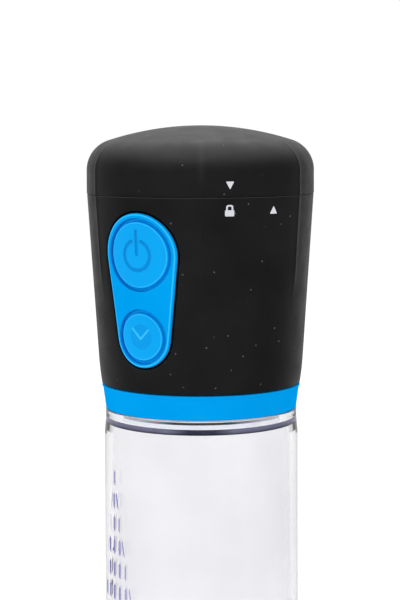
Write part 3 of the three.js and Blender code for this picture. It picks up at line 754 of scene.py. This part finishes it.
def make_cap():
    """The cap with its lugs, softly six-sided outside and round inside."""
    angles = skin_angles()
    shell = Shell()
    outside = cap_outside()
    inside = cap_inside(outside)
    outer = [[polar(r * hex_factor(a, z), a, z) for a in angles] for r, z in outside]
    inner = [[polar(r, a, z) for a in angles] for r, z in inside]
    shell.strip(list(reversed(inner)) + outer)
    shell.fan(outer[-1], (0, 0, HEAD_TOP))
    shell.fan(inner[-1], (0, 0, inside[-1][1]))
    for lug in lug_azimuths():
        start, end = lug - LUG_HALF, lug + LUG_HALF
        shell.sector(COLLAR_BORE_R + 0.6, CAP_R - WALL + 0.5, start, end, LUG_LOW, LUG_HIGH)
    cap = shell.object("cap_shell", [BLACK])
    return place(cap, "cap", "black_plastic", "battery_cap")


def housing_inside():
    """The housing's inside and its collar, from the seam inwards and down to the lower edge."""
    return rounded([
        (side_radius(SEAM) - EDGE, HOUSING_EDGE_Z, 0), (COLLAR_R, HOUSING_EDGE_Z, 0.3),
        (COLLAR_R, COLLAR_TOP, 0.5), (COLLAR_BORE_R, COLLAR_TOP, 0.5),
        (COLLAR_BORE_R, 272, 1.0), (33.0, 268, 1.0),
        (31.0, 240.9, 0.3), (28.6, 240.9, 0.4), (28.6, 238.6, 0.4), (30.8, 238.6, 0.3),
        (29.43, HEAD_LOW, 0.3), (side_radius(HEAD_LOW) - 0.3, HEAD_LOW, 0),
    ], steps=3, closed=False)


WINDOW_ROUND = 0.3
PATCH_AZIMUTHS = (-57.0, -9.0)
PATCH_LEVELS = (221.0, 277.0)


def skin_levels(low, high, spacing=1.6):
    count = max(1, round((high - low) / spacing))
    return [low + (high - low) * i / count for i in range(count + 1)]


def make_housing():
    """The housing, with a patch of finer skin round the keypad's window and slots for the cap's lugs."""
    shell = Shell()
    angles = skin_angles()
    low_patch, high_patch = PATCH_LEVELS

    def ring(r, z):
        return [polar(r * hex_factor(a, z), a, z) for a in angles]

    below = [ring(side_radius(HEAD_LOW) - 0.3, HEAD_LOW), ring(side_radius(HEAD_LOW + 0.3), HEAD_LOW + 0.3)]
    below += [ring(side_radius(z), z) for z in skin_levels(HEAD_LOW + 1, low_patch)]
    above = [ring(side_radius(z), z) for z in skin_levels(high_patch, HOUSING_EDGE_Z - EDGE, 0.4)]
    shell.strip(below)
    shell.strip(above)
    levels = skin_levels(low_patch, high_patch)
    first, last = PATCH_AZIMUTHS
    twice = [a - 360 for a in angles] + angles
    rest = [a for a in twice if last <= a <= first + 360]
    shell.strip([[on_skin(a, z) for a in rest] for z in levels], closed=False)
    fill_window_patch(shell, [a for a in twice if first <= a <= last], levels)
    inside = housing_inside()
    edge = ring(*inside[0])
    # painted highlight: the top edge at the seam takes the lighter grey
    shell.strip([above[-1], edge], material=1)
    shell.strip([edge] + [[polar(r, a, z) for a in angles] for r, z in inside[1:-1]] + [below[0]])
    housing = shell.object("housing_shell", [BLACK, SEAM_PAINTED_HIGHLIGHT])
    spare = LUG_HALF + 1.2
    for lug in lug_azimuths():
        start, end = lug - spare, lug + spare + LUG_TURN
        slot = Shell()
        slot.sector(COLLAR_BORE_R - 1, COLLAR_R + 1, start, end, LUG_LOW - GAP, COLLAR_TOP + 1)
        carve(housing, slot.object("slot", [BLACK]))
    return place(housing, "head", "black_plastic", "housing")


def lug_azimuths():
    """The cap's lugs. The CAD places the first one on +Y."""
    return [180 + 120 * i for i in range(3)]


def fill_window_patch(shell, azimuths, levels):
    """The skin round the keypad's window, with a rounded edge that turns in through the wall."""
    reference = side_radius(POWER_Z)
    scale = math.radians(1) * reference  # millimetres per degree

    def flat(azimuth, z):
        return (azimuth * scale, z)

    border = [flat(a, levels[0]) for a in azimuths]
    border += [flat(azimuths[-1], z) for z in levels[1:]]
    border += [flat(a, levels[-1]) for a in reversed(azimuths[:-1])]
    border += [flat(azimuths[0], z) for z in reversed(levels[1:-1])]
    outer = pad_outline(PAD_CLEARANCE + WINDOW_ROUND)
    window = [flat(key_azimuth(t, z), z) for t, z in outer]
    shell.fill([border, window], lambda x, z: on_skin(x / scale, z), 1.5)
    turns = [math.pi / 2 * i / 5 for i in range(6)]
    steps = [(WINDOW_ROUND * (1 - math.sin(q)), WINDOW_ROUND * (math.cos(q) - 1)) for q in turns]
    steps.append((0.0, -WALL))
    loops = [[on_pad(t, z, depth) for t, z in pad_outline(PAD_CLEARANCE + margin)] for margin, depth in steps]
    shell.strip(loops)


def make_ring():
    """The blue coupling ring, which hangs down to the tube's rim."""
    low, high = TUBE_TOP + 0.04, RING_BOX[1].z
    top_r = RING_BOX[1].x
    outline = rounded([
        (29.7, low, 0), (30.5, low, 0.35), (top_r - 0.28, high - 1.1, 0.3), (top_r, high - 0.75, 0.25),
        (top_r, high - 0.15, 0.15), (top_r - 0.5, high, 0.2), (29.7, high, 0),
    ])
    ring = turned(outline).object("ring_shell", [BLUE])
    return place(ring, "head", "blue_plastic", "coupling_ring")


# Keypad


def make_pad():
    """The blue pad: a rounded rim with a painted highlight, a side wall black as painted shade, and a face and a back
    with a hole for each key.
    """
    shell = Shell()
    rim = 0.7
    back = -WALL - 0.4
    turns = [math.pi / 2 * i / 6 for i in range(7)]
    side = pad_outline(0.0)
    # painted shade: the pad's side wall, down in the gap round the pad, is black to stand in for the shadow in that
    # gap
    shell.strip([[on_pad(t, z, depth) for t, z in side] for depth in (back, PAD_PROUD - rim)], material=1)
    outer = [(-rim * (1 - math.cos(q)), PAD_PROUD - rim * (1 - math.sin(q))) for q in turns]
    loops = [[on_pad(t, z, depth) for t, z in pad_outline(margin)] for margin, depth in outer]
    shell.strip(loops[:5])
    # painted highlight on the rim's outer rounding
    shell.strip(loops[4:], material=2)
    loops = [pad_outline(outer[-1][0])]
    backs = [pad_outline(0.0)]
    lip = 0.3
    for z, radius in ((POWER_Z, POWER_HOLE_R), (RELEASE_Z, RELEASE_HOLE_R)):
        count = round(2 * math.pi * radius / 0.6)
        hole = [(radius, back), (radius, PAD_PROUD - lip)]
        hole += [(radius + lip * (1 - math.cos(q)), PAD_PROUD - lip * (1 - math.sin(q))) for q in turns[1:]]
        shell.strip([[on_pad(t, h, depth) for t, h in circle(0, z, r, count)] for r, depth in hole])
        loops.append(circle(0, z, hole[-1][0], count))
        backs.append(circle(0, z, radius, count))
    shell.fill(loops, lambda t, z: on_pad(t, z, PAD_PROUD), 1.1)
    shell.fill(backs, lambda t, z: on_pad(t, z, back), 1.6)
    pad = shell.object("keypad_pad", [BLUE, BLACK_PLASTIC, BLUE_PAINTED_HIGHLIGHT])
    return place(pad, "head", "blue_plastic", "keypad_frame")


def power_sign(t, z):
    """Distance from a point of the key's face to the power sign's edge, below 0 on the sign."""
    ring_r, gap = 4.6, math.radians(22)
    x, y = t + 0.35, z - POWER_Z + 0.1
    angle = math.atan2(x, y)
    if abs(angle) > gap:
        ring = abs(math.hypot(x, y) - ring_r)
    else:
        end = (ring_r * math.sin(gap), ring_r * math.cos(gap))
        ring = math.hypot(abs(x) - end[0], y - end[1])
    return min(ring, to_segment((x, y), (0.0, 0.3), (0.0, 7.4))) - 0.52


def to_chevron(t, z):
    """Distance from a point of the key's face to the chevron's middle line."""
    arms = [to_segment((t, z - RELEASE_Z), (-0.25, -0.6), end) for end in ((-3.0, 2.4), (2.6, 2.2))]
    return min(arms)


def chevron_sign(t, z):
    """Below 0 inside the recessed disc, but not on the chevron that stays level with the key."""
    return max(math.hypot(t, z - RELEASE_Z) - 3.75, 0.33 - to_chevron(t, z))


def make_key(name, z, radius, hole_radius, sign, depth, sunk, body):
    """A round key in its groove. sign is below 0 where the face is sunk by depth, and sunk is the darker blue of
    painted shade that the sunk face takes.
    """
    shell = Shell()
    count = round(2 * math.pi * radius / 0.5)
    lip = 0.45
    skirt_low = -4.2
    skirt_r = hole_radius - 0.12
    turns = [math.pi / 2 * i / 6 for i in range(6, -1, -1)]
    profile = [(radius - lip * (1 - math.cos(q)), KEY_FACE - lip * (1 - math.sin(q))) for q in turns]
    profile += [(radius, GROOVE_FLOOR + 0.25), (radius + 0.2, GROOVE_FLOOR)]
    profile += [(skirt_r, GROOVE_FLOOR), (skirt_r, skirt_low)]
    loops = [[on_pad(t, h, d) for t, h in circle(0, z, r, count)] for r, d in profile]
    # painted highlight on the key's lip
    shell.strip(loops[:3], material=2)
    shell.strip(loops[2:])
    shell.fan(loops[-1], on_pad(0, z, skirt_low))

    def face(t, h):
        return on_pad(t, h, KEY_FACE - depth * (1 - smoothstep(sign(t, h), -0.16, 0.08)))

    def shade(t, h):
        # painted highlight on the raised chevron
        if sign is chevron_sign and to_chevron(t, h) < 0.36:
            return 2
        return 1 if sign(t, h) < 0 else 0

    extra = []
    fine = 0.16
    cells = int(2 * radius / fine)
    for i in range(cells):
        for j in range(cells):
            t, h = -radius + i * fine, z - radius + j * fine
            if math.hypot(t, h - z) < radius - lip - 0.2 and abs(sign(t, h)) < 0.34:
                extra.append((t, h))
    shell.fill([circle(0, z, profile[0][0], count)], face, 1.0, extra, shade)
    key = shell.object(name, [BLUE_KEY, sunk, BLUE_PAINTED_HIGHLIGHT], sharp=50)
    return place(key, body, "blue_rubber")


def make_keys():
    power = make_key(
        "power_key_cap", POWER_Z, POWER_R, POWER_HOLE_R,
        sign=power_sign, depth=0.3, sunk=BLUE_SIGN_PAINTED_SHADE, body="power_button",
    )
    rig.replaces(power, "power_key")
    release = make_key(
        "release_key_cap", RELEASE_Z, RELEASE_R, RELEASE_HOLE_R,
        sign=chevron_sign, depth=0.2, sunk=BLUE_DISC_PAINTED_SHADE, body="release_button",
    )
    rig.replaces(release, "release_key")


# Marks


def mark(name, outline, azimuth, z, body):
    """A printed mark: a thin raised sheet of ink on the skin."""
    reach = side_radius(z)
    levels = (0.04, -0.02)  # above and just under the skin

    def at(x, y, offset):
        return on_skin(azimuth + math.degrees(x / reach), z + y, offset)

    shell = Shell()
    for offset in levels:
        shell.fill([outline], lambda x, y: at(x, y, offset), 0.5)
    shell.strip([[at(x, y, offset) for x, y in outline] for offset in levels])
    return place(shell.object(name, [MARK_WHITE]), body, "silicone")


def make_marks():
    half, tall = 1.3, 2.4
    down = rounded([(-half, tall / 2, 0.15), (0, -tall / 2, 0.15), (half, tall / 2, 0.15)], 2)
    mark("mark_down", down, 14.2, 281.95, "cap")
    up = rounded([(-half - 0.1, -tall / 2, 0.15), (half + 0.1, -tall / 2, 0.15), (0, tall / 2, 0.15)], 2)
    mark("mark_unlock", up, 38.2, 274.3, "head")
    body = rounded([(-1.45, -1.75, 0.3), (1.45, -1.75, 0.3), (1.45, 0.1, 0.2), (-1.45, 0.1, 0.2)], 2)
    mark("mark_lock_body", body, 14.1, 274.4, "head")
    arch = rounded([
        (1.12, 0.12, 0), (1.12, 1.7, 0.8), (-1.12, 1.7, 0.8), (-1.12, 0.12, 0),
        (-0.58, 0.12, 0), (-0.58, 1.2, 0.35), (0.58, 1.2, 0.35), (0.58, 0.12, 0),
    ], 4)
    mark("mark_lock_shackle", arch, 14.1, 274.4, "head")


# Clear cylinder


SCALE_AZIMUTHS = (-61.6, 115.5)  # middles of the two scales
SCALE_TOP = 192.4
SCALE_ROWS = 22
ROW_PITCH = 7.25
ROW_HEIGHT = 5.5
COLUMN_PITCH = 6.1  # degrees
FIRST_REACH = 3.9  # degrees, half-width of the second row
SCALE_SPREAD = 3.1  # degrees more for each row
EDGE_SLANT = 2.35  # degrees, of an outer edge over one row's height
TILE_GAP = 0.12  # degrees, half of the groove between two tiles
TILE_HEIGHT = 0.11
TILE_RAMP = 1.1  # length of a tile's soft upper and lower slope
TILE_SIDE = 1.1  # degrees, width of its steep sides
SCALE_SEAM = -150  # where the flat sheet of the wall is joined


def row_columns(row):
    """The tiles on one side of a row's middle, as (near, far at the bottom, far at the top) in degrees."""
    reach = FIRST_REACH + SCALE_SPREAD * (row - 1)
    full = int((reach - 0.8) / COLUMN_PITCH)
    columns = [(i * COLUMN_PITCH, (i + 1) * COLUMN_PITCH, (i + 1) * COLUMN_PITCH) for i in range(full)]
    if reach - full * COLUMN_PITCH >= 1.5:
        columns.append((full * COLUMN_PITCH, reach + EDGE_SLANT / 2, reach - EDGE_SLANT / 2))
    return columns


def scale_tiles(centre):
    """Corners of the raised tiles as (azimuth, z), in a triangle that widens downwards."""
    dash = [(-TILE_SIDE, 0), (TILE_SIDE, 0), (TILE_SIDE, ROW_HEIGHT), (-TILE_SIDE, ROW_HEIGHT)]
    tiles = [[(centre + a, SCALE_TOP - ROW_HEIGHT + z) for a, z in dash]]
    for row in range(1, SCALE_ROWS):
        top = SCALE_TOP - row * ROW_PITCH
        low = top - ROW_HEIGHT
        for near, far_low, far_top in row_columns(row):
            start = near + TILE_GAP
            corners = [(start, low), (far_low - TILE_GAP, low), (far_top - TILE_GAP, top), (start, top)]
            tiles += [[(centre + way * a, z) for a, z in corners] for way in (-1, 1)]
    return tiles


def add_tile(shell, corners, side_material):
    """A raised tile with soft slopes above and below and steep sides. Returns its foot's outline."""
    (near, low), (far_low, _), (far_top, top), _ = corners
    way = 1 if far_low > near else -1
    inset = way * min(TILE_SIDE, abs(far_low - near) / 2.3)
    steps = max(1, round(abs(far_low - near) / 1.8))
    edges = [(near, far_low, low, TUBE_R), (near, far_top, top, TUBE_R)]
    ramp = TILE_RAMP / (top - low)
    for share in (1 - ramp, ramp):
        far = far_low + (far_top - far_low) * share
        z = low + (top - low) * share
        edges.insert(1, (near + inset, far - inset, z, TUBE_R + TILE_HEIGHT))
    rows = [[polar(r, a + (b - a) * i / steps, z) for i in range(steps + 1)] for a, b, z, r in edges]
    shell.strip(rows, closed=False)
    for end in (0, -1):
        shell.add([row[end] for row in rows], [[0, 1, 2, 3]], side_material)
    flat = [[(a + (b - a) * i / steps, z) for i in range(steps + 1)] for a, b, z, _ in (edges[0], edges[-1])]
    return flat[0] + flat[1][::-1]


def add_scale_wall(shell, low, high):
    """The cylinder's outer wall between two levels, with its raised tiles."""
    scale = math.radians(1) * TUBE_R
    azimuths = [SCALE_SEAM + a for a in even_angles() + [360]]
    levels = skin_levels(low, high, 4)
    border = [(a * scale, low) for a in azimuths] + [(azimuths[-1] * scale, z) for z in levels[1:]]
    border += [(a * scale, high) for a in reversed(azimuths[:-1])]
    border += [(azimuths[0] * scale, z) for z in reversed(levels[1:-1])]
    loops = [border]
    # the left scale's steep sides take the painted light; the right scale's stay clear
    for centre, side_material in zip(SCALE_AZIMUTHS, (1, 0)):
        for tile in scale_tiles(centre):
            loops.append([(a * scale, z) for a, z in add_tile(shell, tile, side_material)])
    shell.fill(loops, lambda x, z: polar(TUBE_R, x / scale, z), 2.6)
    return azimuths[:-1]


def make_cylinder():
    """The clear tube with its scales, thick rim, frosted shoulder painted with the reflection of the head, and foot.
    """
    shoulder = TUBE_TOP - RIM_DEPTH - SHOULDER_DEPTH
    rim_low = shoulder + 1.5
    wall_low, wall_high = 28.0, 198.0
    rim = rounded([
        (TUBE_R, wall_high, 0), (TUBE_R, shoulder - 3, 2.0), (RIM_R, rim_low, 2.0),
        (RIM_R, TUBE_TOP, 0.35), (RIM_BORE_R, TUBE_TOP, 0.35), (RIM_BORE_R, rim_low, 0),
    ], steps=5, closed=False)
    foot = rounded([
        (TUBE_BORE_R, shoulder, 0), (TUBE_BORE_R, FOOT_LOW, 0.4), (FOOT_R, FOOT_LOW, 0.6),
        (FOOT_R, FOOT_HIGH, 0.6), (TUBE_R, FOOT_HIGH, 0.8), (TUBE_R, wall_low, 0),
    ], steps=3, closed=False)
    shell = Shell()
    azimuths = add_scale_wall(shell, wall_low, wall_high)
    # material 2 is the shoulder's painted reflection
    for outline, material in ((rim, 0), ((rim[-1], foot[0]), 2), (foot, 0)):
        shell.strip([[polar(r, a, z) for a in azimuths] for r, z in outline], material)
    cylinder = shell.object("cylinder_wall", [CLEAR, SCALE_PAINTED_LIGHT, RIM_PAINTED_REFRACTION])
    return place(cylinder, "cylinder_body", "clear_plastic", "cylinder")


# Base sleeve, seal and the CAD nodes that stay


def make_sleeve():
    """The soft sleeve: a skirt outside, a socket that grips the foot, and a mouth."""
    top = SLEEVE_BOX[1].z
    r = SLEEVE_BOX[1].x
    grip = TUBE_R + 0.1
    outside = [
        (24, 0, 1.2), (r - 2.2, 0, 1.6), (r, 2.2, 1.6), (r - 0.2, 9, 1.0), (r - 1.0, 10, 0.6),
        (r - 1.6, 14, 1.5), (r - 4.2, top - 2.5, 2.0), (r - 6.2, top, 1.2),
    ]
    socket = [
        (grip, top, 0.6), (grip, FOOT_HIGH + 0.1, 0.3), (FOOT_R + 0.1, FOOT_HIGH + 0.1, 0.3),
        (FOOT_R + 0.1, FOOT_LOW - 0.1, 0.3), (26.8, FOOT_LOW - 0.1, 1.5),
    ]
    mouth = [(22.5, 14, 0.8), (20.5, 13, 0.8)]
    outline = rounded(outside + socket + mouth, steps=5)
    sleeve = turned(outline).object("sleeve_body", [BLACK_RUBBER])
    return place(sleeve, "cylinder_body", "black_rubber", "base_sleeve")


def make_seal():
    """Two pale lips that glow as painted light, with a dark line of painted shade between them."""
    low, high = SEAL_BOX[0].z, SEAL_BOX[1].z
    r = SEAL_BOX[1].x
    bore_r = 23.4
    lip_r, lip_low = 24.35, low - 0.55
    outline = [
        (r, high - 1.7), (r, low - 0.4), (r - 0.2, lip_low), (lip_r, lip_low), (lip_r, low),
        (bore_r, low), (bore_r, high), (r - 0.2, high), (r, high - 0.2), (r, high - 0.95),
    ]
    shell = Shell()
    loops = [[polar(q, a, z) for a in even_angles()] for q, z in outline]
    shell.strip(loops)
    # material 1: the line of painted shade between the lips
    shell.strip([loops[-1], loops[0]], material=1)
    seal = shell.object("seal_ring", [SEAL_LIP_GLOW.material, SEAL_GAP_PAINTED_SHADE])
    return place(seal, "head", "silicone", "spigot_seal")


def cad(node, material, bevel):
    """A CAD node that stays: smooth shading, softened edges and its own material."""
    piece = frame["nodes"][node]
    piece.data.materials.clear()
    piece.data.materials.append(material)
    piece.data.shade_smooth()
    piece.data.set_sharp_from_angle(angle=math.radians(31))
    if bevel:
        edge = piece.modifiers.new("edge", "BEVEL")
        edge.width = bevel * MM
        edge.segments = 2
        edge.limit_method = "ANGLE"
        edge.angle_limit = math.radians(50)
        edge.harden_normals = False


def dress_cad_nodes():
    dress = {
        BLACK_PLASTIC: ["base_plate"],
        BLACK_RUBBER: ["cap_seal", "diaphragm", "driver_chip", "motor_wire_black", "battery_wire_black"],
        SEAL: ["valve_plate", "suction_hose"],
        GREY: ["battery_tray", "crankcase", "pump_head", "release_valve_body", "board_capacitor"],
        IVORY: ["contact_disc", "motor_end_bell", "connecting_rod"],
        STEEL: [
            "motor_can", "motor_clamp", "clamp_screw_1", "clamp_screw_2", "plate_screw_1", "plate_screw_2",
            "plate_screw_3", "carrier_screw", "power_switch",
        ],
        SPRING_STEEL: [
            "valve_spring", "contact_spring_1", "contact_pad_2", "contact_spring_3", "contact_pad_4",
        ],
        BRASS: ["contact_link_1", "contact_link_2", "motor_bearing", "eccentric", "valve_stem"],
        COPPER: ["motor_armature"],
        FERRITE: ["motor_magnet_1", "motor_magnet_2"],
        BOARD: ["control_board"],
        RED: ["motor_wire_red", "battery_wire_red"],
        STEEL_CELL: ["cell_1", "cell_2", "cell_3", "cell_4"],
    }
    thin = ("wire", "spring", "hose")
    for material, nodes in dress.items():
        for node in nodes:
            cad(node, material, 0 if any(word in node for word in thin) else 0.12)


# Floor, light and camera


def make_stage():
    """A wide pale floor just under the part. Reflections don't see it."""
    shell = Shell()
    loop = [polar(4000, 360 * i / 96, 0) for i in range(96)]
    shell.fan(loop, (0, 0, 0))
    dark, light = (0.96, 0.96, 0.96), (0.985, 0.985, 0.985)
    paper = moulded("floor_paper", dark, light, 0.8, grain=0.1, grain_mm=2.0, specular=0.1)
    floor = shell.object("floor", [paper.material])
    floor.location.z = -0.0002
    floor.visible_glossy = False
    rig.stage(floor)


def area_light(name, where, towards, size, power):
    """A soft light that reflections don't see, as with a polariser."""
    data = bpy.data.lights.new(name, "AREA")
    data.shape = "RECTANGLE"
    data.size, data.size_y = size
    data.energy = power
    light = bpy.data.objects.new(name, data)
    light.location = where
    light.rotation_euler = (Vector(towards) - Vector(where)).to_track_quat("-Z", "Y").to_euler()
    light.visible_glossy = False
    bpy.context.scene.collection.objects.link(light)


def make_world():
    """Even white light all round.

    Reflections see a tent instead, dark behind the camera and bright overhead. Light through the clear
    wall also counts as a reflection, so it is told apart and sees the even light.
    """
    world = bpy.data.worlds.new("tent")
    bpy.context.scene.world = world
    world.use_nodes = True
    tree = world.node_tree
    tree.nodes.clear()
    link = tree.links.new
    direction = tree.nodes.new("ShaderNodeTexCoord")
    split = tree.nodes.new("ShaderNodeSeparateXYZ")
    link(direction.outputs["Generated"], split.inputs[0])
    total = tree.nodes.new("ShaderNodeMath")
    parts = (("Y", 0.1, 1.0, 0.01, 0.62), ("Z", 0.35, 0.95, 0.0, 1.6))
    for slot, (axis, start, end, low, high) in enumerate(parts):
        shade = tree.nodes.new("ShaderNodeMapRange")
        shade.interpolation_type = "SMOOTHSTEP"
        for name, value in (("From Min", start), ("From Max", end), ("To Min", low), ("To Max", high)):
            shade.inputs[name].default_value = value
        link(split.outputs[axis], shade.inputs["Value"])
        link(shade.outputs["Result"], total.inputs[slot])
    even, tent = (tree.nodes.new("ShaderNodeBackground") for _ in range(2))
    for background in (even, tent):
        background.inputs["Color"].default_value = (1, 1, 1, 1)
    even.inputs["Strength"].default_value = 1.01
    link(total.outputs[0], tent.inputs["Strength"])
    rays = tree.nodes.new("ShaderNodeLightPath")
    mix = tree.nodes.new("ShaderNodeMixShader")
    mirrored = tree.nodes.new("ShaderNodeMath")
    mirrored.operation = "SUBTRACT"
    mirrored.use_clamp = True
    link(rays.outputs["Is Glossy Ray"], mirrored.inputs[0])
    link(rays.outputs["Is Transmission Ray"], mirrored.inputs[1])
    link(mirrored.outputs[0], mix.inputs["Fac"])
    link(even.outputs[0], mix.inputs[1])
    link(tent.outputs[0], mix.inputs[2])
    out = tree.nodes.new("ShaderNodeOutputWorld")
    link(mix.outputs[0], out.inputs["Surface"])


def make_lights():
    make_world()
    area_light("left_fill", (-1.1, -1.0, 1.0), (0, 0, 0.2), (0.8, 0.8), 3)
    area_light("top_softbox", (0, 0.6, 2.4), (0, 0.6, 0), (3.0, 3.0), 16)


def make_camera():
    data = bpy.data.cameras.new("camera")
    data.lens = 105.72
    data.sensor_width = 36
    data.shift_y = -0.17
    data.clip_start = 0.01
    camera = bpy.data.objects.new("camera", data)
    camera.location = (-0.00012, -0.5637, 0.30085)
    level = Matrix.Rotation(math.radians(90 - 2.45), 3, "X")
    camera.rotation_euler = (level @ Matrix.Rotation(math.radians(-0.205), 3, "Z")).to_euler()
    bpy.context.scene.collection.objects.link(camera)
    bpy.context.scene.camera = camera
    bpy.context.scene.view_settings.view_transform = "Standard"


make_camera()
make_lights()
make_stage()
make_cap()
make_housing()
make_ring()
make_pad()
make_keys()
make_marks()
make_cylinder()
make_sleeve()
make_seal()
dress_cad_nodes()

seen_low, seen_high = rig.bounds()
with open("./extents.json", "w") as file:
    json.dump({
        "cad": [list(CAD_LOW), list(CAD_HIGH)],
        "visual": [list(seen_low), list(seen_high)],
    }, file)
